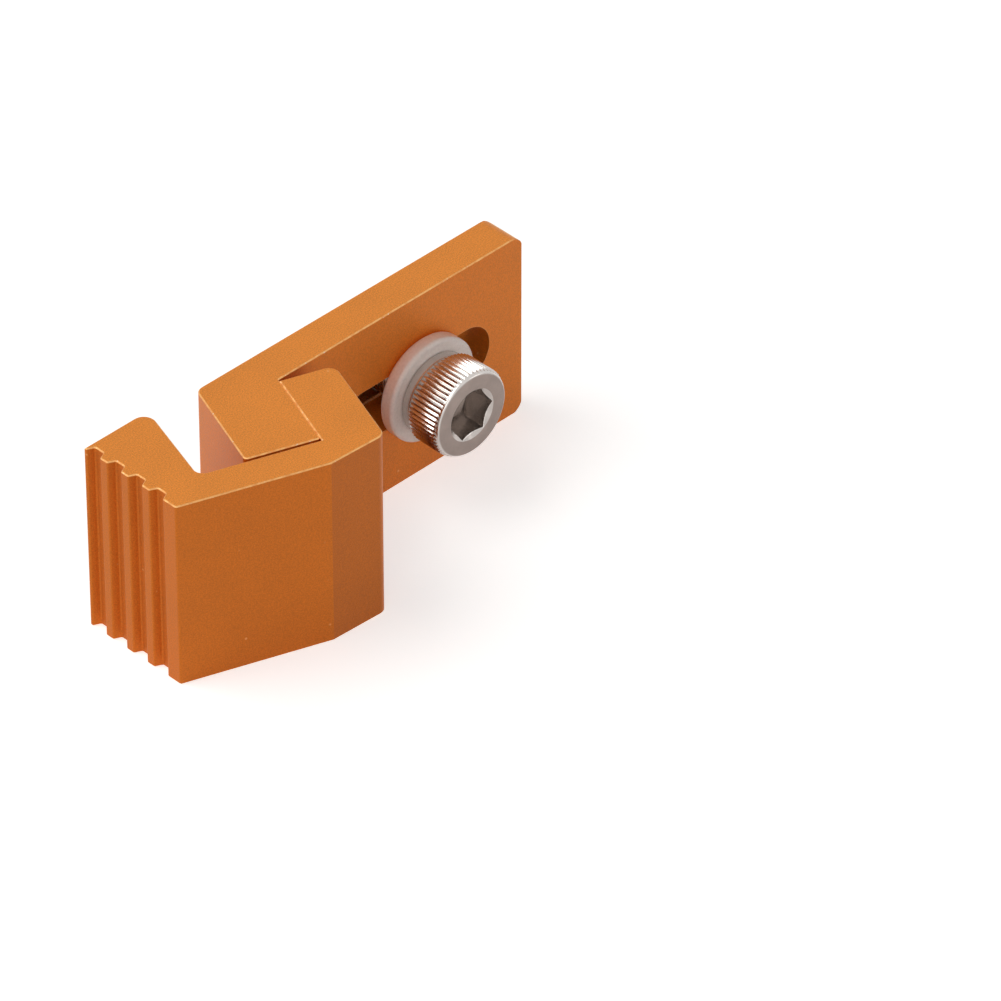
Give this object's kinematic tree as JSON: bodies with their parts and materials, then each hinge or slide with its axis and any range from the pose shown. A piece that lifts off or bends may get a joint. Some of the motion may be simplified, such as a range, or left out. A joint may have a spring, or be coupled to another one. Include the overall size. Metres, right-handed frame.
{
  "type": "edge clamp",
  "caption": "Low clamp for a slotted machine table: a slotted plate with a leaning leg, a hooked jaw with serrations that slides down the leg, a socket screw, a plastic washer and a slot nut.",
  "frame": {"origin": "middle of the bounding box seen from above, on the plane that the clamp lies on", "axes": "+X along the plate from the jaw to the plate's rear end, +Y from the screw head to the slot nut, +Z across the clamp's width, which is up as it lies"},
  "size_m": [0.0734, 0.0346, 0.03],
  "materials": {
    "orange_aluminium": "bead blasted and orange anodised, with bright thin edges",
    "stainless_steel": "turned and knurled, bright",
    "plated_steel": "tumbled and nickel plated",
    "white_nylon": "milky, slightly translucent"
  },
  "bodies": {
    "clamp_body": {"clamp_body": "orange_aluminium", "guide_pin_upper": "stainless_steel", "guide_pin_lower": "stainless_steel"},
    "jaw": {"jaw": "orange_aluminium"},
    "jaw_screw": {"jaw_screw": "stainless_steel"},
    "washer": {"nylon_washer": "white_nylon"},
    "cap_screw": {"cap_screw": "stainless_steel"},
    "t_nut": {"t_nut": "plated_steel"}
  },
  "joints": [
    {"name": "jaw_slide", "type": "slide", "parent": "clamp_body", "child": "jaw", "axis": [0.9397, -0.342, 0], "range_m": [0, 0.006]},
    {"name": "jaw_screw_turn", "type": "hinge", "parent": "jaw", "child": "jaw_screw", "pos_m": [-0.00461, -0.00882, 0.015], "axis": [0.9397, -0.342, 0], "range_deg": [0, 2161]},
    {"name": "screw_along_slot", "type": "slide", "parent": "clamp_body", "child": "washer", "axis": [1, 0, 0], "range_m": [-0.006, 0.0085]},
    {"name": "cap_screw_turn", "type": "hinge", "parent": "washer", "child": "cap_screw", "pos_m": [0.01754, -0.00156, 0.015], "axis": [0, -1, 0], "range_deg": [0, 892]},
    {"name": "t_nut_drop", "type": "slide", "parent": "washer", "child": "t_nut", "axis": [0, 1, 0], "range_m": [0, 0.0031]}
  ],
  "couplings": [
    {"joint": "jaw_screw_turn", "follows": "jaw_slide", "rad_per_m": 6283.2},
    {"joint": "t_nut_drop", "follows": "cap_screw_turn", "m_per_rad": 0.00019894}
  ]
}
